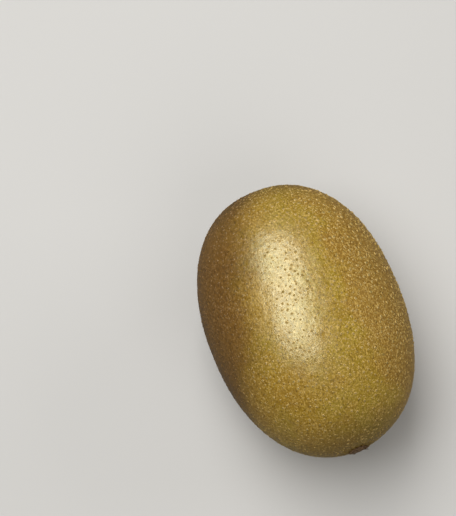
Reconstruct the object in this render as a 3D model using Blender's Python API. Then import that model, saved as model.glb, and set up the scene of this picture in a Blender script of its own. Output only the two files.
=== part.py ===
"""A whole golden kiwi fruit, lying on its side on the small flat that its own weight presses.

The fruit is one solid, as it grew.  Its long axis runs along Y, with the stem end at +Y and
the blossom end at -Y, and +Z is up.  The origin is the centre of the base of its bounding
box.  Lengths are in metres.
"""

import math

import bmesh
import bpy
from mathutils import Matrix, Vector, noise

# Overall size of the fruit.
LENGTH = 0.0745
WIDTH = 0.0525
HEIGHT = 0.0500

# Fullness of the outline towards each end: 2 is an ellipse, and more is squarer.
STEM_FULLNESS = 2.25
BLOSSOM_FULLNESS = 2.20
SECTION_FULLNESS = 2.06

# The stem end: a shallow basin, with the raised woody scar of the stalk in its middle.
BASIN_DEPTH = 0.0012
BASIN_RADIUS = 0.0062
SCAR_HEIGHT = 0.0008
SCAR_RADIUS = 0.0029
SCAR_EDGE = 0.0007

# The blossom end: a low swelling that carries the dry button of the flower.
SWELLING_HEIGHT = 0.0003
SWELLING_RADIUS = 0.0070
BUTTON_HEIGHT = 0.0004
BUTTON_RADIUS = 0.0025
BUTTON_EDGE = 0.0010

# Gentle unevenness of the grown surface, and how quickly it changes along the surface.
UNEVENNESS = 0.0002
UNEVEN_PATTERN = 55.0

# How much of the underside the resting flat takes off.
FLAT_DEPTH = 0.0003

# Facets of the solid: round the axis, along each end, and along the stretch between them.
# END_REACH is the share of half a turn that each finely stepped end takes up.
STEPS_AROUND = 72
STEPS_END = 9
STEPS_MIDDLE = 38
END_REACH = 0.055

# Points closer together than this are one point.
MERGE_DISTANCE = 1e-6

# Edges sharper than this stay sharp when the faces are shaded smooth.
SHARP_ANGLE = math.radians(35.0)

SKIN_COLOUR = (0.33, 0.20, 0.05, 1.0)
SKIN_ROUGHNESS = 0.5


def soft_step(distance, radius, edge):
    """1 inside a disc of this radius and 0 outside it, with a smooth edge of this width."""
    share = (distance - radius) / edge
    share = min(1.0, max(0.0, 0.5 - 0.5 * share))
    return share * share * (3.0 - 2.0 * share)


def stem_relief(radius):
    """How far the surface at the stem end stands out along the axis, this far from it."""
    basin = -BASIN_DEPTH * math.exp(-((radius / BASIN_RADIUS) ** 2))
    return basin + SCAR_HEIGHT * soft_step(radius, SCAR_RADIUS, SCAR_EDGE)


def blossom_relief(radius):
    """How far the surface at the blossom end stands out along the axis, this far from it."""
    swelling = SWELLING_HEIGHT * math.exp(-((radius / SWELLING_RADIUS) ** 2))
    return swelling + BUTTON_HEIGHT * soft_step(radius, BUTTON_RADIUS, BUTTON_EDGE)


def outline_point(turn):
    """A point (distance from the axis, place along it) of the fruit's outline.

    turn runs from 0 at the tip of the blossom end to pi at the tip of the stem end.
    """
    at_stem = turn > math.pi / 2
    power = 2.0 / (STEM_FULLNESS if at_stem else BLOSSOM_FULLNESS)
    radius = WIDTH / 2 * max(0.0, math.sin(turn)) ** power
    along = LENGTH / 2 * abs(math.cos(turn)) ** power
    if at_stem:
        return radius, along + stem_relief(radius)
    return radius, -along - blossom_relief(radius)


def outline_turns():
    """The turns of the outline's points, closer together at the two ends."""
    reach = END_REACH * math.pi
    end = [reach * i / STEPS_END for i in range(STEPS_END)]
    middle = [reach + (math.pi - 2 * reach) * i / STEPS_MIDDLE for i in range(STEPS_MIDDLE + 1)]
    return end + middle + [math.pi - turn for turn in reversed(end)]


def spun_body():
    """A mesh of the outline spun round the Y axis, closed at both tips."""
    mesh = bmesh.new()
    outline = [outline_point(turn) for turn in outline_turns()]
    points = [mesh.verts.new((radius, along, 0.0)) for radius, along in outline]
    points[0].co.x = points[-1].co.x = 0.0
    edges = [mesh.edges.new(pair) for pair in zip(points, points[1:])]
    bmesh.ops.spin(
        mesh,
        geom=points + edges,
        cent=(0.0, 0.0, 0.0),
        axis=(0.0, 1.0, 0.0),
        angle=2.0 * math.pi,
        steps=STEPS_AROUND,
        use_merge=True,
    )
    bmesh.ops.remove_doubles(mesh, verts=mesh.verts, dist=MERGE_DISTANCE)
    bmesh.ops.recalc_face_normals(mesh, faces=mesh.faces)
    return mesh


def grown_place(point):
    """Where a point of the spun body lies on the grown fruit.

    Its round section becomes a slightly lower and squarer one, and it bulges gently.
    """
    radius = math.hypot(point.x, point.z)
    if radius > 0.0:
        across, up = abs(point.x) / radius, abs(point.z) / radius
        power = SECTION_FULLNESS
        fuller = (across**power + up**power) ** (-1.0 / power)
    else:
        fuller = 1.0
    flattened = HEIGHT / WIDTH
    shaped = Vector((point.x * fuller, point.y, point.z * fuller * flattened))
    outward = Vector((point.x / WIDTH**2, point.y / LENGTH**2, point.z / WIDTH**2))
    outward.normalize()
    bulge = UNEVENNESS * noise.noise(point * UNEVEN_PATTERN)
    return shaped + outward * bulge


def press_flat(mesh):
    """Cut the resting flat into the underside and close it with one face."""
    lowest = min(vert.co.z for vert in mesh.verts)
    cut = bmesh.ops.bisect_plane(
        mesh,
        geom=mesh.verts[:] + mesh.edges[:] + mesh.faces[:],
        plane_co=(0.0, 0.0, lowest + FLAT_DEPTH),
        plane_no=(0.0, 0.0, -1.0),
        clear_outer=True,
    )
    rim = [item for item in cut["geom_cut"] if isinstance(item, bmesh.types.BMEdge)]
    bmesh.ops.edgeloop_fill(mesh, edges=rim)


def seat_on_origin(mesh):
    """Move the fruit so that the centre of its bounding box's base is the origin."""
    low = Vector(min(vert.co[i] for vert in mesh.verts) for i in range(3))
    high = Vector(max(vert.co[i] for vert in mesh.verts) for i in range(3))
    middle = (low + high) / 2
    base = Vector((middle.x, middle.y, low.z))
    bmesh.ops.transform(mesh, matrix=Matrix.Translation(-base), verts=mesh.verts)


def skin_material():
    """Bronze-gold skin, dull with a faint sheen."""
    material = bpy.data.materials.new("kiwi_skin")
    material.use_nodes = True
    shader = material.node_tree.nodes["Principled BSDF"]
    shader.inputs["Base Color"].default_value = SKIN_COLOUR
    shader.inputs["Roughness"].default_value = SKIN_ROUGHNESS
    shader.inputs["Metallic"].default_value = 0.0
    return material


def make_fruit():
    """The whole fruit as one closed object."""
    body = spun_body()
    for vert in body.verts:
        vert.co = grown_place(vert.co.copy())
    press_flat(body)
    seat_on_origin(body)
    bmesh.ops.recalc_face_normals(body, faces=body.faces)
    mesh = bpy.data.meshes.new("kiwi_fruit")
    body.to_mesh(mesh)
    body.free()
    mesh.shade_smooth()
    mesh.set_sharp_from_angle(angle=SHARP_ANGLE)
    mesh.materials.append(skin_material())
    fruit = bpy.data.objects.new("kiwi_fruit", mesh)
    bpy.context.collection.objects.link(fruit)
    return fruit


def main():
    for leftover in list(bpy.data.objects):
        bpy.data.objects.remove(leftover)
    make_fruit()


main()
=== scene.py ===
"""Looks for a whole golden kiwi fruit that lies on its side on a pale table.

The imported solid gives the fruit's place and size.  The skin, the lenticels that stand on it,
the scar of the stalk and the dried remains of the flower are modelled here around it.  The
fruit's long axis runs along Y, with the stem end at +Y, and +Z is up.  Lengths are in metres.
"""

from __future__ import annotations

import bisect
import itertools
import logging
import math
import operator
import random
from dataclasses import dataclass
from enum import Enum

import bmesh
import bpy
from mathutils import Matrix, Quaternion, Vector, noise


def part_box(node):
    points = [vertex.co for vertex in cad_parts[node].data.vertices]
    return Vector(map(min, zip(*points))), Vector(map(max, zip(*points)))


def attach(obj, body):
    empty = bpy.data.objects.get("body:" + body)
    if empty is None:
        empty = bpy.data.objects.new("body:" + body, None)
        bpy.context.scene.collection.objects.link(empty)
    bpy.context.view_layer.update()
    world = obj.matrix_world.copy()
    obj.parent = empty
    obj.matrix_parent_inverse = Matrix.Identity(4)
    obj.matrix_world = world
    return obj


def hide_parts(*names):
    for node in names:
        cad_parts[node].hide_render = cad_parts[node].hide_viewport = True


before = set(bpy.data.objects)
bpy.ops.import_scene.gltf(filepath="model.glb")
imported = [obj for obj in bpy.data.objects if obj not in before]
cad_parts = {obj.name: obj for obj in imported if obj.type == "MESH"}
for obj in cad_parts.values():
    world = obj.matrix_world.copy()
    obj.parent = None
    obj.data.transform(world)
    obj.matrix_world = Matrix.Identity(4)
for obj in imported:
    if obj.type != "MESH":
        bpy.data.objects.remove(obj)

LOG = logging.getLogger("kiwi")

BODY = "root"
NODE = "kiwi_fruit"
MM = 0.001

Pair = tuple[float, float]
Triple = tuple[float, float, float]
Colour = Triple
Cell = tuple[int, ...]
Socket = bpy.types.NodeSocket


class End(Enum):
    """The two ends of the fruit, each with its direction along Y."""

    STEM = 1.0
    BLOSSOM = -1.0


# ---- Node work ----


@dataclass(frozen=True)
class Ramp:
    """A stretch of a value over which something comes in smoothly.

    Args:
        start: the value at which there is none of it.
        end: the value from which there is most of it.
        most: how much of it there is then.
    """

    start: float
    end: float
    most: float = 1.0


@dataclass(frozen=True)
class Flecks:
    """A pattern of small round flecks.

    Args:
        spacing: the spacing of the flecks in millimetres.
        radius: the radius of a fleck, in spacings.
        most: how strong the strongest are.
        shift: where the pattern starts, in millimetres.
        uneven: how much the flecks' strengths differ, from 0 to 1.
    """

    spacing: float
    radius: float
    most: float
    shift: Triple
    uneven: float = 1.0


class Palette:
    """Lays and joins the nodes of one procedural material.

    Patterns are measured in millimetres on the object's own coordinates.
    """

    def __init__(self, name: str) -> None:
        """Starts a material that holds one Principled shader.

        Args:
            name: the material's name.
        """
        self.material = bpy.data.materials.new(name)
        self.material.use_nodes = True
        self.tree = self.material.node_tree
        self.shader = self.tree.nodes["Principled BSDF"]
        self.coords = self.tree.nodes.new("ShaderNodeTexCoord").outputs["Object"]

    def node(self, kind: str, inputs: dict[str | int, object] | None = None,
             **settings: object) -> bpy.types.Node:
        """Adds a node.

        Args:
            kind: the node's type name, without its ShaderNode prefix.
            inputs: a plain value or an output socket for each named input.
            settings: the node's own settings.

        Returns:
            The new node.
        """
        made = self.tree.nodes.new("ShaderNode" + kind)
        for name, value in settings.items():
            setattr(made, name, value)
        for name, value in (inputs or {}).items():
            self.feed(made.inputs[name], value)
        return made

    def feed(self, socket: Socket, value: object) -> None:
        """Sets an input to a plain value, or links an output to it.

        Args:
            socket: the input.
            value: a number, a colour, a vector or the output of a node.
        """
        if isinstance(value, Socket):
            self.tree.links.new(value, socket)
        elif isinstance(value, tuple) and len(value) == 3 and socket.type == "RGBA":
            socket.default_value = (*value, 1.0)
        else:
            socket.default_value = value

    def place(self, stretch: Triple = (1.0, 1.0, 1.0), shift: Triple = (0.0, 0.0, 0.0)) -> Socket:
        """Object coordinates in millimetres.

        Args:
            stretch: how much longer the pattern is along each axis.
            shift: where the pattern starts, in millimetres.

        Returns:
            The coordinates' socket.
        """
        scale = tuple(1.0 / (MM * s) for s in stretch)
        node = self.node("Mapping", {"Vector": self.coords, "Scale": scale, "Location": shift})
        return node.outputs["Vector"]

    def axes(self) -> bpy.types.bpy_prop_collection:
        """The object's X, Y and Z in millimetres, as three outputs."""
        return self.node("SeparateXYZ", {0: self.place()}).outputs

    def cloud(self, size: float, detail: float = 3.0, where: Socket | None = None,
              rough: float = 0.55, warp: float = 0.0) -> Socket:
        """A soft noise from 0 to 1.

        Args:
            size: the size of its blobs in millimetres.
            detail: how many finer layers it has.
            where: the coordinates, or None for the object's own.
            rough: how strong the finer layers are.
            warp: how much it is twisted.

        Returns:
            The noise's socket.
        """
        inputs = {"Vector": where or self.place(), "Scale": 1.0 / size, "Detail": detail,
                  "Roughness": rough, "Distortion": warp}
        return self.node("TexNoise", inputs).outputs["Fac"]

    def wander(self, size: float, detail: float, reach: float) -> Socket:
        """A cloud about zero, in millimetres, which makes the edge of a colour wander."""
        return self.math("MULTIPLY", self.math("SUBTRACT", self.cloud(size, detail), 0.5), reach)

    def flecks(self, kind: Flecks) -> Socket:
        """Small round flecks with soft edges, each with a strength of its own.

        Args:
            kind: their pattern.

        Returns:
            The socket of the flecks, which is 0 between them.
        """
        inputs = {"Vector": self.place(shift=kind.shift), "Scale": 1.0 / kind.spacing,
                  "Randomness": 1.0}
        spots = self.node("TexVoronoi", inputs, feature="F1")
        inside = self.span(spots.outputs["Distance"], kind.radius, kind.radius * 0.35, 0.0, kind.most)
        own = self.node("SeparateColor", {0: spots.outputs["Color"]}).outputs["Red"]
        return self.math("MULTIPLY", inside, self.span(own, 0.0, 1.0, 1.0 - kind.uneven, 1.0))

    def span(self, value: Socket, start: float, end: float, low: float = 0.0,
             high: float = 1.0) -> Socket:
        """Maps a value smoothly from start..end to low..high, and holds it there."""
        inputs = {"Value": value, "From Min": start, "From Max": end, "To Min": low, "To Max": high}
        return self.node("MapRange", inputs, interpolation_type="SMOOTHSTEP").outputs["Result"]

    def ramp(self, value: Socket, over: Ramp) -> Socket:
        """Brings something in over a stretch of a value."""
        return self.span(value, over.start, over.end, 0.0, over.most)

    def math(self, how: str, a: object, b: object = 0.0) -> Socket:
        """A sum, product or other function of two values."""
        return self.node("Math", {0: a, 1: b}, operation=how).outputs[0]

    def mix(self, share: object, a: object, b: object, how: str = "MIX") -> Socket:
        """Mixes two colours.

        Args:
            share: how much of the second colour there is.
            a: the first colour.
            b: the second colour.
            how: the blend type.

        Returns:
            The mixed colour's socket.
        """
        made = self.node("Mix", data_type="RGBA", blend_type=how)
        for socket, value in zip((made.inputs[0], made.inputs[6], made.inputs[7]), (share, a, b)):
            self.feed(socket, value)
        return made.outputs[2]

    def grain(self, height: Socket, depth: float, below: Socket | None = None) -> Socket:
        """Turns a height into a bumped normal.

        Args:
            height: the height, from 0 to 1.
            depth: how deep the relief is, in metres.
            below: the normal of a coarser relief.

        Returns:
            The normal's socket.
        """
        inputs = {"Height": height, "Distance": depth, "Strength": 1.0}
        if below is not None:
            inputs["Normal"] = below
        return self.node("Bump", inputs).outputs["Normal"]

    def finish(self, colour: object, roughness: object, normal: Socket | None = None,
               **plain: object) -> bpy.types.Material:
        """Joins the patterns to the shader.

        Args:
            colour: the base colour.
            roughness: the roughness.
            normal: the bumped normal.
            plain: other shader inputs, with an underscore for each space.

        Returns:
            The finished material.
        """
        self.feed(self.shader.inputs["Base Color"], colour)
        self.feed(self.shader.inputs["Roughness"], roughness)
        if normal is not None:
            self.feed(self.shader.inputs["Normal"], normal)
        for name, value in plain.items():
            self.feed(self.shader.inputs[name.replace("_", " ")], value)
        return self.material


# ---- Finishes ----


@dataclass(frozen=True)
class PaintedSideShade:
    """Painted shade: a browner, darker zone on the fruit's left as the camera sees it, away from +X
    and nearer the stem end, standing for a shadow cast on that side.

    Its direction is (across, along) in X and Y, and distances that way are in millimetres.
    """

    across: float = -0.93
    along: float = 0.365
    reach: Ramp = Ramp(9.0, 21.0)
    blobs: float = 12.0
    wander: float = 10.0
    # The painted shade's colour, which multiplies the colour under it.
    tint: Colour = (0.50, 0.40, 0.42)

    def over(self, p: Palette, base: Socket) -> Socket:
        """Darkens a colour with painted shade where the shaded side is.

        Args:
            p: the material's palette.
            base: the colour without it.

        Returns:
            The colour's socket, with the painted shade.
        """
        parts = p.axes()
        across = p.math("MULTIPLY", parts["X"], self.across)
        along = p.math("MULTIPLY", parts["Y"], self.along)
        out = p.math("ADD", p.math("ADD", across, along), p.wander(self.blobs, 4.0, self.wander))
        return p.mix(p.ramp(out, self.reach), base, self.tint, "MULTIPLY")


@dataclass(frozen=True)
class SkinFinish:
    """The thin bronze-gold skin: mottled, finely grained, with a soft gloss.

    Distances and the sizes of patterns are in millimetres; depths are in metres.
    """

    brown: Colour = (0.228, 0.116, 0.009)
    gold: Colour = (0.292, 0.168, 0.007)
    olive: Colour = (0.262, 0.174, 0.007)
    amber: Colour = (0.265, 0.138, 0.005)
    dark: Colour = (0.085, 0.041, 0.001)
    pale: Colour = (0.510, 0.335, 0.080)
    side_blobs: float = 16.0
    side_wander: float = 34.0
    brown_side: Ramp = Ramp(7.0, 15.6, 0.95)
    amber_side: Ramp = Ramp(-9.0, -23.4, 0.80)
    olive_from: Ramp = Ramp(-1.0, 5.0, 0.85)
    olive_to: Ramp = Ramp(13.0, 8.0, 0.85)
    patch: float = 13.0
    patches: Ramp = Ramp(0.36, 0.64)
    mottle: float = 4.2
    mottling: Ramp = Ramp(0.38, 0.66, 0.40)
    streak: float = 0.44
    dark_streaks: Ramp = Ramp(0.47, 0.34, 0.85)
    pale_streaks: Ramp = Ramp(0.53, 0.66, 0.90)
    dark_flecks: Flecks = Flecks(0.62, 0.40, 0.62, (0.0, 7.0, 0.0))
    pale_flecks: Flecks = Flecks(0.52, 0.42, 0.95, (5.0, 0.0, 3.0))
    dark_ends: Ramp = Ramp(28.0, 37.0, 0.55)
    glossiest: float = 0.27
    dullest: float = 0.41
    gloss_tint: Colour = (1.0, 1.0, 0.74)
    leather: float = 1.9
    leather_depth: float = 0.135 * MM
    pimples: Flecks = Flecks(0.46, 0.62, 1.0, (2.0, 1.0, 9.0), 0.8)
    pimple_depth: float = 0.010 * MM
    fine_grain: float = 0.33
    fine_depth: float = 0.012 * MM

    def ground(self, p: Palette) -> Socket:
        """The broad colours: brown on one side, amber on the other, gold and olive between.

        Args:
            p: the material's palette.

        Returns:
            The colour's socket.
        """
        side = p.math("ADD", p.axes()["X"], p.wander(self.side_blobs, 3.0, self.side_wander))
        base = p.mix(p.ramp(p.cloud(self.patch, 2.0), self.patches), self.gold, self.olive)
        band = p.math("MINIMUM", p.ramp(side, self.olive_from), p.ramp(side, self.olive_to))
        base = p.mix(band, base, self.olive)
        base = p.mix(p.ramp(side, self.brown_side), base, self.brown)
        base = p.mix(p.ramp(side, self.amber_side), base, self.amber)
        mottle = p.cloud(self.mottle, 4.0, p.place(shift=(31.0, 0.0, 0.0)), warp=0.4)
        return p.mix(p.ramp(mottle, self.mottling), base, self.brown)

    def speckled(self, p: Palette, base: Socket, lengthwise: Socket) -> Socket:
        """Streaks and flecks, darker and paler than the ground, and darker ends.

        Args:
            p: the material's palette.
            base: the colour of the ground.
            lengthwise: coordinates that stretch a pattern along the fruit.

        Returns:
            The colour's socket.
        """
        streaks = p.cloud(self.streak, 4.0, lengthwise, 0.7)
        base = p.mix(p.ramp(streaks, self.dark_streaks), base, self.dark)
        base = p.mix(p.ramp(streaks, self.pale_streaks), base, self.pale)
        base = p.mix(p.flecks(self.dark_flecks), base, self.dark)
        base = p.mix(p.flecks(self.pale_flecks), base, self.pale)
        from_middle = p.math("ABSOLUTE", p.axes()["Y"])
        return p.mix(p.ramp(from_middle, self.dark_ends), base, self.dark)

    def relief(self, p: Palette, lengthwise: Socket) -> Socket:
        """The relief that is too fine for the mesh, from the coarsest to the finest.

        Args:
            p: the material's palette.
            lengthwise: coordinates that stretch a pattern along the fruit.

        Returns:
            The bumped normal's socket.
        """
        creases = p.cloud(self.leather, 3.0, p.place(stretch=(1.0, 1.5, 1.0)))
        normal = p.grain(creases, self.leather_depth)
        normal = p.grain(p.flecks(self.pimples), self.pimple_depth, normal)
        return p.grain(p.cloud(self.fine_grain, 3.0, lengthwise, 0.65), self.fine_depth, normal)

    def material(self) -> bpy.types.Material:
        """Builds the skin's material.

        Returns:
            The material.
        """
        p = Palette("kiwi_skin")
        lengthwise = p.place(stretch=(1.0, 1.8, 1.0))
        # Painted shade darkens the skin on its left side as the camera sees it.
        colour = PaintedSideShade().over(p, self.speckled(p, self.ground(p), lengthwise))
        rough = p.span(p.cloud(1.4, 3.0), 0.30, 0.70, self.glossiest, self.dullest)
        return p.finish(colour, rough, self.relief(p, lengthwise), IOR=1.62,
                        Specular_IOR_Level=1.0, Specular_Tint=self.gloss_tint)


@dataclass(frozen=True)
class LenticelFinish:
    """The lenticels: glossy tan flanks round a dull brown core, each with a tone of its own.

    The vertex attribute "core" is highest on the core and 0 on the flank.
    """

    name: str
    tan: Colour = (0.500, 0.335, 0.105)
    bronze: Colour = (0.310, 0.200, 0.035)
    core: Colour = (0.150, 0.116, 0.045)
    tones: Ramp = Ramp(0.34, 0.54)
    core_share: float = 0.85
    crumb: float = 0.16
    crumbs: Ramp = Ramp(0.5, 0.3, 0.35)
    crumb_depth: float = 0.02 * MM
    glossy: float = 0.40
    dull: float = 0.92
    gloss_tint: Colour = (1.0, 0.92, 0.66)

    def material(self) -> bpy.types.Material:
        """Builds the material of one layer of lenticels.

        Returns:
            The material.
        """
        p = Palette(self.name)
        core = p.node("Attribute", attribute_name="core").outputs["Fac"]
        crumbs = p.cloud(self.crumb, 2.0)
        base = p.mix(p.ramp(p.cloud(1.6, 2.0), self.tones), self.bronze, self.tan)
        base = p.mix(p.math("MULTIPLY", core, self.core_share), base, self.core)
        base = p.mix(p.ramp(crumbs, self.crumbs), base, self.core)
        rough = p.span(core, 0.0, 0.8, self.glossy, self.dull)
        # The same painted shade darkens the lenticels on that side.
        return p.finish(PaintedSideShade().over(p, base), rough, p.grain(crumbs, self.crumb_depth),
                        IOR=1.42, Specular_IOR_Level=1.0, Specular_Tint=self.gloss_tint)


@dataclass(frozen=True)
class ScarFinish:
    """The woody scar of the stalk: grey-brown fibres round a dark core.

    Distances are in millimetres, and axis_height is the height of the fruit's long axis.
    """

    bark: Colour = (0.120, 0.068, 0.028)
    fibre: Colour = (0.270, 0.175, 0.080)
    core: Colour = (0.070, 0.041, 0.019)
    fibres: Ramp = Ramp(0.36, 0.64)
    fibre_size: float = 0.34
    fibre_depth: float = 0.12 * MM
    inside_core: Ramp = Ramp(1.1, 0.44)
    axis_height: float = 25.0

    def material(self) -> bpy.types.Material:
        """Builds the scar's material.

        Returns:
            The material.
        """
        p = Palette("stem_scar_wood")
        parts = p.axes()
        across = p.math("POWER", parts["X"], 2.0)
        up = p.math("POWER", p.math("SUBTRACT", parts["Z"], self.axis_height), 2.0)
        from_axis = p.math("SQRT", p.math("ADD", across, up))
        fibres = p.cloud(self.fibre_size, 4.0, p.place(stretch=(1.0, 3.0, 1.0)), 0.7)
        base = p.mix(p.ramp(fibres, self.fibres), self.bark, self.fibre)
        base = p.mix(p.ramp(from_axis, self.inside_core), base, self.core)
        return p.finish(base, 0.9, p.grain(fibres, self.fibre_depth), Specular_IOR_Level=0.2)


@dataclass(frozen=True)
class DryFlowerFinish:
    """The withered brown of the flower's dried remains."""

    name: str
    dark: Colour = (0.060, 0.034, 0.017)
    light: Colour = (0.215, 0.130, 0.062)
    crumbs: Ramp = Ramp(0.35, 0.68)
    crumb: float = 0.45
    crumb_depth: float = 0.08 * MM

    def material(self) -> bpy.types.Material:
        """Builds the material of the button or of its styles.

        Returns:
            The material.
        """
        p = Palette(self.name)
        crumble = p.cloud(self.crumb, 4.0, rough=0.7)
        base = p.mix(p.ramp(crumble, self.crumbs), self.dark, self.light)
        return p.finish(base, 0.82, p.grain(crumble, self.crumb_depth), Specular_IOR_Level=0.25)


@dataclass(frozen=True)
class TableFinish:
    """The plain pale table, with hardly visible clouds in it."""

    colour: Colour = (0.50, 0.497, 0.487)
    cloudy: Colour = (0.47, 0.47, 0.465)
    cloud: float = 60.0
    clouds: Ramp = Ramp(0.3, 0.7, 0.03)

    def material(self) -> bpy.types.Material:
        """Builds the table's material.

        Returns:
            The material.
        """
        p = Palette("pale_table")
        base = p.mix(p.ramp(p.cloud(self.cloud, 2.0), self.clouds), self.colour, self.cloudy)
        return p.finish(base, 0.85, Specular_IOR_Level=0.15)


# ---- The grown shape ----


@dataclass(frozen=True)
class FruitForm:
    """The grown shape of the fruit, which the skin and all that stands on it share.

    A turn runs from 0 at the tip of the blossom end to pi at the tip of the stem end, and an
    angle runs once round the long axis, from +X towards +Z.
    """

    length: float = 0.0745
    width: float = 0.0525
    height: float = 0.0500
    stem_fullness: float = 2.25
    blossom_fullness: float = 2.20
    section_fullness: float = 2.06
    basin_depth: float = 0.0012
    basin_radius: float = 0.0062
    swelling_height: float = 0.0003
    swelling_radius: float = 0.0070
    unevenness: float = 0.0002
    uneven_pattern: float = 55.0

    def outline(self, turn: float) -> Pair:
        """A point of the outline that is spun into the fruit.

        Args:
            turn: how far along the outline, from 0 to pi.

        Returns:
            The distance from the long axis, and the place along it.
        """
        at_stem = turn > math.pi / 2
        power = 2.0 / (self.stem_fullness if at_stem else self.blossom_fullness)
        radius = self.width / 2 * max(0.0, math.sin(turn)) ** power
        along = self.length / 2 * abs(math.cos(turn)) ** power
        if at_stem:
            basin = self.basin_depth * math.exp(-((radius / self.basin_radius) ** 2))
            return radius, along - basin
        swelling = self.swelling_height * math.exp(-((radius / self.swelling_radius) ** 2))
        return radius, -along - swelling

    def spun(self, turn: float, angle: float) -> Vector:
        """The point of the spun shape at a turn and an angle."""
        radius, along = self.outline(turn)
        return Vector((radius * math.cos(angle), along, radius * math.sin(angle)))

    def outward(self, point: Vector) -> Vector:
        """The direction away from the fruit at a point of the spun shape."""
        steep = Vector((point.x / self.width**2, point.y / self.length**2, point.z / self.width**2))
        return steep.normalized()

    def grown(self, point: Vector) -> Vector:
        """Where a point of the spun shape lies on the grown fruit.

        Args:
            point: a point of the shape spun round the Y axis.

        Returns:
            The point on the slightly lower, squarer and gently uneven fruit.
        """
        radius = math.hypot(point.x, point.z)
        fuller = 1.0
        if radius > 0.0:
            across, up = abs(point.x) / radius, abs(point.z) / radius
            power = self.section_fullness
            fuller = (across**power + up**power) ** (-1.0 / power)
        lower = self.height / self.width
        shaped = Vector((point.x * fuller, point.y, point.z * fuller * lower))
        swell = self.unevenness * noise.noise(point * self.uneven_pattern)
        return shaped + self.outward(point) * swell


@dataclass(frozen=True)
class Spot:
    """A place on the skin, with the outward direction and the fruit's long direction there."""

    place: Vector
    normal: Vector
    along: Vector

    def matrix(self, spin: float, scale: Triple) -> Matrix:
        """The transform that sets a small flat shape on the skin.

        Args:
            spin: the shape's turn about the outward direction.
            scale: its size along its own X, Y and Z.

        Returns:
            The matrix from the shape's own coordinates to the frame's.
        """
        across = self.along.cross(self.normal).normalized()
        along = self.normal.cross(across)
        upright = Matrix((across, along, self.normal)).transposed()
        shape = upright @ Matrix.Rotation(spin, 3, "Z") @ Matrix.Diagonal(scale)
        return Matrix.Translation(self.place) @ shape.to_4x4()


class Surface:
    """The grown shape in its place in the frame, with the finer relief of the skin.

    SCAN is how many steps the shape is measured in each way, STEP the small turn that a direction
    on it is taken over, and NEAR_TIP the turn from a tip at which that end's skin is measured.
    The puckers are shallow folds that run out from both tips.
    """

    SCAN = 160
    STEP = 0.002
    NEAR_TIP = 0.02
    FINE_RELIEF = 0.035 * MM
    FINE_SIZE = 2.6 * MM
    PUCKERS = {End.STEM: 17, End.BLOSSOM: 13}
    PUCKER_REACH = {End.STEM: 8.5 * MM, End.BLOSSOM: 6.5 * MM}
    PUCKER_DEPTH = 0.16 * MM
    PUCKER_LEVEL = 0.4
    PUCKER_BEND = 1.6
    BEND_SIZE = 3.0 * MM

    def __init__(self, form: FruitForm, low: Vector, high: Vector) -> None:
        """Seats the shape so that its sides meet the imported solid's.

        Args:
            form: the grown shape.
            low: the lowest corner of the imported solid's box.
            high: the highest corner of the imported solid's box.
        """
        self.form = form
        self.floor = low.z
        scan = [
            form.grown(form.spun(math.pi * i / self.SCAN, math.tau * j / self.SCAN))
            for i in range(self.SCAN + 1)
            for j in range(self.SCAN)
        ]
        self.seat = high - Vector(max(point[axis] for point in scan) for axis in range(3))
        self.shares = self._area_shares(6 * self.SCAN)

    def _area_shares(self, steps: int) -> list[float]:
        """The share of the skin from the blossom tip up to each of many turns.

        Args:
            steps: how many steps there are from tip to tip.

        Returns:
            The shares, from 0 to 1.
        """
        shares, total = [0.0], 0.0
        before = self.form.outline(0.0)
        for i in range(1, steps + 1):
            after = self.form.outline(math.pi * i / steps)
            total += math.dist(before, after) * (before[0] + after[0]) / 2
            shares.append(total)
            before = after
        return [share / total for share in shares]

    def turn_at(self, share: float) -> float:
        """The turn up to which a share of the skin lies.

        Args:
            share: the share, from 0 to 1.

        Returns:
            The turn, from 0 to pi.
        """
        high = min(bisect.bisect_left(self.shares, share, 1), len(self.shares) - 1)
        below, above = self.shares[high - 1], self.shares[high]
        part = (share - below) / (above - below)
        return math.pi * (high - 1 + part) / (len(self.shares) - 1)

    def relief(self, point: Vector) -> float:
        """The height of the skin's finer relief.

        Args:
            point: a point of the spun shape.

        Returns:
            The height there.
        """
        rise = self.FINE_RELIEF * noise.fractal(point / self.FINE_SIZE, 1.0, 2.0, 3)
        if abs(point.y) < self.form.length / 4:
            return rise
        end = End(math.copysign(1.0, point.y))
        radius, reach = math.hypot(point.x, point.z), self.PUCKER_REACH[end]
        if radius < reach:
            bend = self.PUCKER_BEND * noise.noise(point / self.BEND_SIZE)
            fold = math.cos(self.PUCKERS[end] * math.atan2(point.z, point.x) + bend)
            fade = math.sin(math.pi * radius / reach) ** 2
            rise += self.PUCKER_DEPTH * fade * (fold - self.PUCKER_LEVEL)
        return rise

    def on(self, point: Vector) -> Vector:
        """Where a point of the spun shape lies on the skin, in the frame.

        Args:
            point: a point of the spun shape.

        Returns:
            The point on the skin, and no lower than what the fruit rests on.
        """
        placed = self.form.grown(point) + self.form.outward(point) * self.relief(point) + self.seat
        placed.z = max(placed.z, self.floor)
        return placed

    def spot(self, turn: float, angle: float) -> Spot:
        """The place on the skin at a turn and an angle.

        Args:
            turn: the turn, from 0 to pi.
            angle: the angle round the long axis.

        Returns:
            The place and the directions there.
        """
        form, step = self.form, self.STEP
        point = form.spun(turn, angle)
        behind, ahead = (form.grown(form.spun(t, angle)) for t in (turn - step, turn + step))
        before, after = (form.grown(form.spun(turn, a)) for a in (angle - step, angle + step))
        along = (ahead - behind).normalized()
        normal = (after - before).cross(along).normalized()
        if normal.dot(form.outward(point)) < 0.0:
            normal.negate()
        return Spot(self.on(point), normal, along)

    def tip(self, end: End) -> Vector:
        """The middle of the skin at one end."""
        turn = math.pi - self.NEAR_TIP if end is End.STEM else self.NEAR_TIP
        return Vector((self.seat.x, self.spot(turn, 0.0).place.y, self.seat.z))


# ---- Pieces ----


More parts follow.
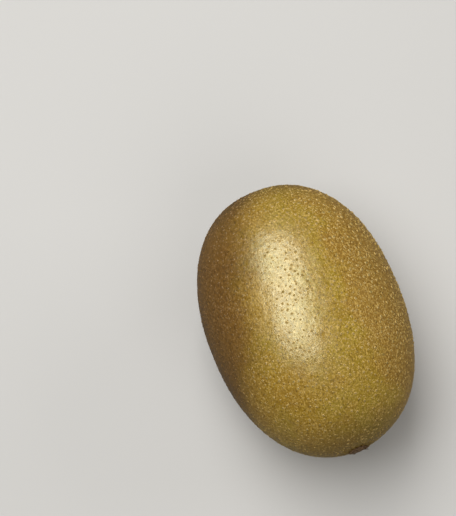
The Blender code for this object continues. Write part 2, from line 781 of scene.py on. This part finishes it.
def make_piece(name: str, shape: bmesh.types.BMesh, finish: bpy.types.Material,
               sharp: float = 60.0) -> bpy.types.Object:
    """Turns a finished bmesh into a piece of the fruit.

    Args:
        name: the piece's name.
        shape: its geometry, in the frame's coordinates; it is freed.
        finish: its material.
        sharp: the angle in degrees past which an edge stays sharp.

    Returns:
        The piece, riding on the fruit's body.
    """
    mesh = bpy.data.meshes.new(name)
    shape.normal_update()
    shape.to_mesh(mesh)
    shape.free()
    mesh.shade_smooth()
    mesh.set_sharp_from_angle(angle=math.radians(sharp))
    mesh.materials.append(finish)
    piece = bpy.data.objects.new(name, mesh)
    bpy.context.scene.collection.objects.link(piece)
    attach(piece, BODY)
    triangles = sum(len(face.vertices) - 2 for face in mesh.polygons)
    LOG.info("%s: %d triangles", name, triangles)
    return piece


@dataclass
class Skin:
    """The skin of the whole fruit, closed all round and pressed flat where it rests."""

    surface: Surface
    cuts: int = 124

    def shape(self) -> bmesh.types.BMesh:
        """A finely divided cube, swelled on to the fruit's surface.

        Returns:
            The skin's geometry.
        """
        skin = bmesh.new()
        bmesh.ops.create_cube(skin, size=2.0)
        bmesh.ops.subdivide_edges(skin, edges=skin.edges[:], cuts=self.cuts, use_grid_fill=True)
        for vert in skin.verts:
            # The tangent makes the squares about equally large all round.
            way = Vector(math.tan(part * math.pi / 4) for part in vert.co).normalized()
            turn = math.acos(max(-1.0, min(1.0, -way.y)))
            vert.co = self.surface.on(self.surface.form.spun(turn, math.atan2(way.z, way.x)))
        bmesh.ops.recalc_face_normals(skin, faces=skin.faces)
        return skin

    def build(self) -> bpy.types.Object:
        """Builds the skin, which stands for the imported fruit.

        Returns:
            The piece.
        """
        piece = make_piece("kiwi_skin", self.shape(), SkinFinish().material())
        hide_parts(NODE)
        return piece


@dataclass(frozen=True)
class Boldness:
    """How much the spots stand out: less near both ends and towards -X.

    They are faintest at three places, and gain over the distance that goes with each.
    """

    least: float = 0.58
    gain: float = 0.46
    most: float = 1.45
    side: float = -16.0 * MM
    side_fade: float = 22.0 * MM
    blossom: float = -30.0 * MM
    blossom_fade: float = 36.0 * MM
    stem: float = 40.0 * MM
    stem_fade: float = 16.0 * MM

    def at(self, point: Vector) -> float:
        """How bold a spot is.

        Args:
            point: where it is.

        Returns:
            The factor on its height.
        """
        across = (point.x - self.side) / self.side_fade
        ahead = (point.y - self.blossom) / self.blossom_fade
        back = (self.stem - point.y) / self.stem_fade
        return self.least + self.gain * min(self.most, max(0.0, min(across, ahead, back)))


@dataclass
class Lenticels:
    """Raised corky pimples, scattered over the skin at uneven spacings and sizes.

    Args:
        name: the piece's name.
        surface: the skin that they stand on.
        count: how many there are at most.
        spacing: the least distance between two of them.
        radius: the usual radius of one.
        spread: how widely the radii vary, as the deviation of their logarithm.
        sides: how many sides one has.
        steps: the width and the rise of each ring of its flank, in radii and heights.
        seed: what sets the scatter.
        dullness: how dull and brown the cores are, from 0 to 1.
        ring_dullness: the same for the ring round a core, as a share of the core's.
        largest: the largest radius, before boldness widens it.
        height: the usual height, in radii.
        sunk: how deep its foot is in the skin, in heights.
        dimple: how deep the hollow on its top is, in heights.
        lumps: how far its outline strays, in radii.
        clear_of_ends: how far the spots stay from the long axis.
        patch: the size of the crowded and the bare patches.
        variants: how many different ones there are.
        darts: how many darts are thrown for each one.
        heights, widths, lengths: the ranges of the factors on its height, width and length.
        boldness: how much they stand out over the fruit.
    """

    name: str
    surface: Surface
    count: int
    spacing: float
    radius: float
    spread: float
    sides: int
    steps: tuple[Pair, ...]
    seed: int
    dullness: float = 1.0
    ring_dullness: float = 0.75
    largest: float = 0.46 * MM
    height: float = 0.46
    sunk: float = 0.22
    dimple: float = 0.16
    lumps: float = 0.20
    clear_of_ends: float = 3.4 * MM
    patch: float = 9.0 * MM
    variants: int = 10
    darts: int = 6
    heights: Pair = (0.65, 1.35)
    widths: Pair = (0.85, 1.0)
    lengths: Pair = (1.0, 1.2)
    boldness: Boldness = Boldness()

    def template(self, rng: random.Random) -> bpy.types.Mesh:
        """One lumpy dome with a dimple on top and a flat base, about 1 in radius and 1 high.

        Args:
            rng: the source of its lumps.

        Returns:
            The dome's mesh, whose core is marked.
        """
        dome = bmesh.new()
        core = dome.verts.layers.float.new("core")
        bmesh.ops.create_circle(dome, cap_ends=True, segments=self.sides, radius=1.0)
        top = dome.faces[:]
        for width, rise in self.steps:
            bmesh.ops.inset_individual(dome, faces=top, thickness=width, depth=rise,
                                       use_even_offset=True)
        tip = bmesh.ops.poke(dome, faces=top, offset=-self.dimple)["verts"]
        bmesh.ops.holes_fill(dome, edges=dome.edges, sides=0)
        bmesh.ops.recalc_face_normals(dome, faces=dome.faces)
        for vert in tip:
            vert[core] = self.dullness
            for edge in vert.link_edges:
                edge.other_vert(vert)[core] = self.ring_dullness * self.dullness
        bmesh.ops.translate(dome, verts=dome.verts, vec=(0.0, 0.0, -self.sunk))
        for vert in dome.verts:
            vert.co.xy *= 1.0 + rng.uniform(-self.lumps, self.lumps)
            vert.co.z += rng.uniform(-self.lumps / 2, self.lumps / 2)
        mesh = bpy.data.meshes.new(self.name)
        dome.normal_update()
        dome.to_mesh(mesh)
        dome.free()
        return mesh

    def crowded(self, point: Vector, cell: Cell, taken: dict[Cell, list[Vector]]) -> bool:
        """Whether another spot is too close.

        Args:
            point: where the new spot would be.
            cell: the cell that it is in, one spacing wide.
            taken: the spots that are there already, by cell.

        Returns:
            True if one is closer than the spacing.
        """
        return any(
            (point - other).length < self.spacing
            for step in itertools.product((-1, 0, 1), repeat=3)
            for other in taken.get(tuple(map(operator.add, cell, step)), ())
        )

    def spots(self, rng: random.Random) -> list[tuple[Spot, float]]:
        """Scatters the spots by throwing darts that may not land close together.

        Args:
            rng: the source of the scatter.

        Returns:
            Each spot and its radius.
        """
        taken: dict[Cell, list[Vector]] = {}
        found = []
        for _ in range(self.count * self.darts):
            turn, angle = self.surface.turn_at(rng.random()), rng.uniform(0.0, math.tau)
            chance, size = rng.random(), rng.gauss(0.0, self.spread)
            point = self.surface.form.spun(turn, angle)
            crowding = 0.5 + 0.9 * noise.noise(point / self.patch)
            if len(found) >= self.count or chance > 0.65 + 0.35 * crowding:
                continue
            if math.hypot(point.x, point.z) < self.clear_of_ends:
                continue
            cell = tuple(math.floor(part / self.spacing) for part in point)
            if self.crowded(point, cell, taken):
                continue
            spot = self.surface.spot(turn, angle)
            radius = min(self.largest, self.radius * math.exp(size) * (0.85 + 0.3 * crowding))
            radius *= (1.0 + self.boldness.at(point)) / 2
            if spot.place.z < self.surface.floor + radius:
                continue
            taken.setdefault(cell, []).append(point)
            found.append((spot, radius))
        return found

    def build(self) -> bpy.types.Object:
        """Sets a dome on each spot.

        Returns:
            The piece.
        """
        rng = random.Random(self.seed)
        templates = [self.template(rng) for _ in range(self.variants)]
        domes = bmesh.new()
        for spot, radius in self.spots(rng):
            one = rng.choice(templates).copy()
            bold = self.boldness.at(spot.place)
            high = radius * self.height * rng.uniform(*self.heights) * bold
            wide, long = radius * rng.uniform(*self.widths), radius * rng.uniform(*self.lengths)
            one.transform(spot.matrix(rng.uniform(0.0, math.tau), (wide, long, high)))
            domes.from_mesh(one, face_normals=False, vertex_normals=False)
            bpy.data.meshes.remove(one)
        for mesh in templates:
            bpy.data.meshes.remove(mesh)
        return make_piece(self.name, domes, LenticelFinish(self.name + "_cork").material(), 75.0)


def lenticel_layers(surface: Surface) -> list[Lenticels]:
    """The large lenticels, and two layers of small ones between them.

    Args:
        surface: the skin that they stand on.

    Returns:
        The layers, in building order.
    """
    small = {"count": 8600, "spacing": 0.60 * MM, "spread": 0.25, "sides": 6,
             "steps": ((0.34, 1.0),), "dullness": 0.45}
    return [
        Lenticels("lenticels", surface, count=3800, spacing=1.10 * MM, radius=0.34 * MM,
                  spread=0.34, sides=8, steps=((0.20, 0.70), (0.24, 0.30)), seed=3),
        Lenticels("small_lenticels", surface, radius=0.17 * MM, seed=4, **small),
        Lenticels("scattered_lenticels", surface, radius=0.13 * MM, seed=8, **small),
    ]


@dataclass
class StemScar:
    """The round woody scar where the stalk broke off, in the basin of the stem end."""

    surface: Surface
    radius: float = 3.1 * MM
    height: float = 0.75 * MM
    sunk: float = 0.38 * MM
    skirt: float = 0.5 * MM
    steps: int = 72
    rings: int = 9
    cracks: int = 19
    crack_depth: float = 0.10
    crack_bend: float = 3.0
    bend_size: float = 0.8 * MM
    roughness: float = 0.16
    rough_size: float = 0.45 * MM
    wobble: float = 0.05
    jitter: float = 0.01 * MM
    seed: int = 5

    def profile(self, share: float) -> float:
        """The scar's height above its foot: a rounded lip round a slightly sunken face.

        Args:
            share: the distance from the middle as a share of the radius.

        Returns:
            The height as a share of the full height.
        """
        hollow = 0.12 * math.exp(-((share / 0.35) ** 2))
        lip = 0.24 * math.exp(-(((share - 0.80) / 0.13) ** 2))
        edge = min(1.0, 6.0 * (1.0 - share))
        return max(0.0, (0.82 - hollow + lip) * edge)

    def raised(self, flat: Vector, foot: Vector) -> Vector:
        """Where a point of the flat disc lies on the cracked and frayed scar.

        Args:
            flat: the point on the disc, in X and Y.
            foot: the middle of the scar's foot.

        Returns:
            The point in the frame.
        """
        share, ray = flat.length / self.radius, math.atan2(flat.y, flat.x)
        bend = self.crack_bend * noise.noise(flat / self.bend_size)
        crack = self.crack_depth * math.cos(self.cracks * ray + bend) * share
        rough = self.roughness * noise.fractal(flat / self.rough_size, 1.0, 2.0, 3)
        inside = min(1.0, 5.0 * (1.0 - share))
        rise = self.height * (self.profile(share) + (crack + rough) * inside)
        way = Vector((math.cos(ray), math.sin(ray), 2.0))
        wider = 1.0 + self.wobble * noise.noise(way * 1.7)
        return foot + Vector((flat.x * wider, rise, flat.y * wider))

    def build(self) -> bpy.types.Object:
        """Raises the scar from a ringed disc, and closes it below.

        Returns:
            The piece.
        """
        scar = bmesh.new()
        bmesh.ops.create_circle(scar, cap_ends=True, segments=self.steps, radius=self.radius)
        face = scar.faces[:]
        for _ in range(self.rings):
            bmesh.ops.inset_region(scar, faces=face, thickness=self.radius / (self.rings + 1.5),
                                   use_boundary=True, use_even_offset=True)
        bmesh.ops.poke(scar, faces=face)
        rng = random.Random(self.seed)
        foot = self.surface.tip(End.STEM) - Vector((0.0, self.sunk, 0.0))
        for vert in scar.verts:
            vert.co = self.raised(vert.co.copy(), foot)
            vert.co.y += rng.uniform(-self.jitter, self.jitter)
        rim = [edge for edge in scar.edges if edge.is_boundary]
        foot_ring = bmesh.ops.extrude_edge_only(scar, edges=rim)["geom"]
        low = [item for item in foot_ring if isinstance(item, bmesh.types.BMVert)]
        bmesh.ops.translate(scar, verts=low, vec=(0.0, -self.skirt, 0.0))
        bmesh.ops.holes_fill(scar, edges=[edge for edge in scar.edges if edge.is_boundary], sides=0)
        bmesh.ops.recalc_face_normals(scar, faces=scar.faces)
        return make_piece("stem_scar", scar, ScarFinish().material())


@dataclass
class FlowerRemains:
    """The dry button of the flower at the blossom end, with its withered styles."""

    surface: Surface
    radius: float = 2.5 * MM
    height: float = 0.45 * MM
    crumple: float = 0.16
    crumple_pattern: float = 3.1
    styles: int = 34
    style_length: float = 1.5 * MM
    style_radius: float = 0.11 * MM
    style_sides: int = 6
    joints: int = 7
    lift: float = 0.2 * MM
    lean: float = 0.35
    curl: float = 0.26
    taper: float = 0.86
    tip_taper: float = 0.72
    seed: int = 11

    def button(self) -> bpy.types.Object:
        """The crumpled dark disc that the styles stand on.

        Returns:
            The piece.
        """
        disc = bmesh.new()
        tip = self.surface.tip(End.BLOSSOM)
        bmesh.ops.create_uvsphere(disc, u_segments=48, v_segments=24, radius=1.0)
        for vert in disc.verts:
            way = vert.co.copy()
            crumple = 1.0 + self.crumple * noise.fractal(way * self.crumple_pattern, 1.0, 2.0, 4)
            flat = Vector((way.x * self.radius, -way.z * self.height, way.y * self.radius))
            vert.co = tip + flat * crumple
        bmesh.ops.recalc_face_normals(disc, faces=disc.faces)
        return make_piece("blossom_button", disc, DryFlowerFinish("dry_button").material())

    def style(self, into: bmesh.types.BMesh, rng: random.Random) -> None:
        """Adds one curled, tapered style.

        Args:
            into: the geometry that it joins.
            rng: the source of its curl.
        """
        angle, out = rng.uniform(0.0, math.tau), self.radius * rng.uniform(0.15, 0.85)
        way = Vector((math.cos(angle), -self.lean, math.sin(angle))).normalized()
        bend = Vector((rng.uniform(-1, 1), rng.uniform(0.1, 1.0), rng.uniform(-1, 1)))
        place = self.surface.tip(End.BLOSSOM)
        place += Vector((math.cos(angle) * out, -self.lift, math.sin(angle) * out))
        step = self.style_length * rng.uniform(0.6, 1.1) / self.joints
        ring = bmesh.ops.create_circle(into, cap_ends=True, segments=self.style_sides,
                                       radius=self.style_radius)["verts"]
        turn = Vector((0.0, 0.0, 1.0)).rotation_difference(way).to_matrix().to_4x4()
        bmesh.ops.transform(into, matrix=Matrix.Translation(place) @ turn, verts=ring)
        face = ring[0].link_faces[0]
        for joint in range(self.joints):
            way_after = (way + bend * self.curl).normalized()
            turn = way.rotation_difference(way_after).to_matrix().to_4x4()
            grown = bmesh.ops.extrude_face_region(into, geom=[face])["geom"]
            face = next(item for item in grown if isinstance(item, bmesh.types.BMFace))
            middle = face.calc_center_median()
            taper = self.taper if joint < self.joints - 2 else self.tip_taper
            move = (Matrix.Translation(middle + way * step) @ turn @ Matrix.Scale(taper, 4)
                    @ Matrix.Translation(-middle))
            bmesh.ops.transform(into, matrix=move, verts=list(face.verts))
            way = way_after

    def build(self) -> list[bpy.types.Object]:
        """Builds the button and its styles.

        Returns:
            The two pieces.
        """
        rng = random.Random(self.seed)
        tuft = bmesh.new()
        for _ in range(self.styles):
            self.style(tuft, rng)
        bmesh.ops.recalc_face_normals(tuft, faces=tuft.faces)
        finish = DryFlowerFinish("dry_style").material()
        return [self.button(), make_piece("dry_styles", tuft, finish)]


# ---- The studio ----


def facing(behind: Vector, above: Vector) -> Quaternion:
    """The turn of a lamp or a camera that faces a point.

    Args:
        behind: the direction from the point to it.
        above: the direction that its own Y axis leans towards.

    Returns:
        The turn.
    """
    behind = behind.normalized()
    side = above.cross(behind).normalized()
    return Matrix((side, behind.cross(side), behind)).transposed().to_quaternion()


@dataclass(frozen=True)
class Softbox:
    """A soft flat lamp aimed at the fruit.

    Args:
        name: the lamp's name.
        way: the direction from the fruit to the lamp.
        distance: how far away it stands.
        size: its width and its length.
        watts: its power.
        lie: the way its length lies, in degrees from +X towards +Y.
        mirrored: whether the gloss of the skin shows it.
        colour: the colour of its light.
    """

    name: str
    way: Triple
    distance: float
    size: Pair
    watts: float
    lie: float = 90.0
    mirrored: bool = False
    colour: Colour = (1.0, 0.985, 0.96)

    def light(self, aim: Vector) -> None:
        """Hangs the lamp.

        Args:
            aim: the point that it faces.
        """
        lamp = bpy.data.lights.new(self.name, "AREA")
        lamp.shape, lamp.energy, lamp.color = "RECTANGLE", self.watts, self.colour
        lamp.size, lamp.size_y = self.size
        hung = bpy.data.objects.new(self.name, lamp)
        away, lie = Vector(self.way).normalized(), math.radians(self.lie)
        hung.location = aim + away * self.distance
        hung.rotation_mode = "QUATERNION"
        hung.rotation_quaternion = facing(away, Vector((math.cos(lie), math.sin(lie), 0.0)))
        hung.visible_glossy = self.mirrored
        bpy.context.scene.collection.objects.link(hung)


@dataclass
class Studio:
    """The pale table, the soft lights and the camera that looks down on the fruit."""

    middle: Vector
    azimuth: float = -21.4
    elevation: float = 75.0
    distance: float = 0.55
    lens: float = 144.8
    aim_left: float = 0.0208
    aim_above: float = 0.0174
    table_radius: float = 3.0
    sky: Colour = (1.0, 0.98, 0.94)
    sky_strength: float = 0.11

    def softboxes(self) -> list[Softbox]:
        """The long key light above the fruit, and weaker fills on three sides.

        Returns:
            The lamps.
        """
        return [
            Softbox("key_light", (-0.17, 0.31, 0.93), 0.62, (0.40, 0.78), 5.3,
                    lie=68.0, mirrored=True),
            Softbox("near_fill", (0.10, -0.70, 0.70), 0.70, (0.50, 0.50), 1.3),
            Softbox("right_fill", (0.94, 0.05, 0.34), 0.80, (0.60, 0.60), 2.2),
            Softbox("far_fill", (0.15, 0.90, 0.45), 0.80, (0.60, 0.60), 0.5),
        ]

    def table(self) -> None:
        """Lays the table and leaves it out of the object."""
        top = bmesh.new()
        bmesh.ops.create_circle(top, cap_ends=True, segments=96, radius=self.table_radius)
        mesh = bpy.data.meshes.new("table")
        top.to_mesh(mesh)
        top.free()
        mesh.materials.append(TableFinish().material())
        table = bpy.data.objects.new("table", mesh)
        table.visible_glossy = False
        bpy.context.scene.collection.objects.link(table)

    def camera(self) -> None:
        """Sets the camera above the fruit, with the fruit low and right of the middle."""
        turn, tilt = math.radians(self.azimuth), math.radians(self.elevation)
        level = math.cos(tilt)
        back = Vector((math.sin(turn) * level, -math.cos(turn) * level, math.sin(tilt)))
        right = Vector((math.cos(turn), math.sin(turn), 0.0))
        above = back.cross(right)
        data = bpy.data.cameras.new("camera")
        data.lens = self.lens
        data.clip_start, data.clip_end = 0.01, 20.0
        camera = bpy.data.objects.new("camera", data)
        camera.location = self.middle + back * self.distance
        aim = self.middle - right * self.aim_left + above * self.aim_above
        camera.rotation_mode = "QUATERNION"
        camera.rotation_quaternion = facing(camera.location - aim, above)
        bpy.context.scene.collection.objects.link(camera)
        bpy.context.scene.camera = camera

    def world(self) -> None:
        """Lights the scene evenly with a pale sky."""
        world = bpy.data.worlds.new("studio_air")
        world.use_nodes = True
        air = world.node_tree.nodes["Background"]
        air.inputs["Color"].default_value = (*self.sky, 1.0)
        air.inputs["Strength"].default_value = self.sky_strength
        bpy.context.scene.world = world

    def build(self) -> None:
        """Sets up the whole studio."""
        self.table()
        self.camera()
        self.world()
        for softbox in self.softboxes():
            softbox.light(self.middle)
        bpy.context.scene.view_settings.view_transform = "Standard"


def main() -> None:
    """Builds the fruit's pieces in order, then the studio."""
    logging.basicConfig(level=logging.INFO, format="%(name)s %(message)s")
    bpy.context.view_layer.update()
    low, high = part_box(NODE)
    surface = Surface(FruitForm(), low, high)
    Skin(surface).build()
    for layer in lenticel_layers(surface):
        layer.build()
    StemScar(surface).build()
    FlowerRemains(surface).build()
    Studio((low + high) / 2).build()


if __name__ == "__main__":
    main()
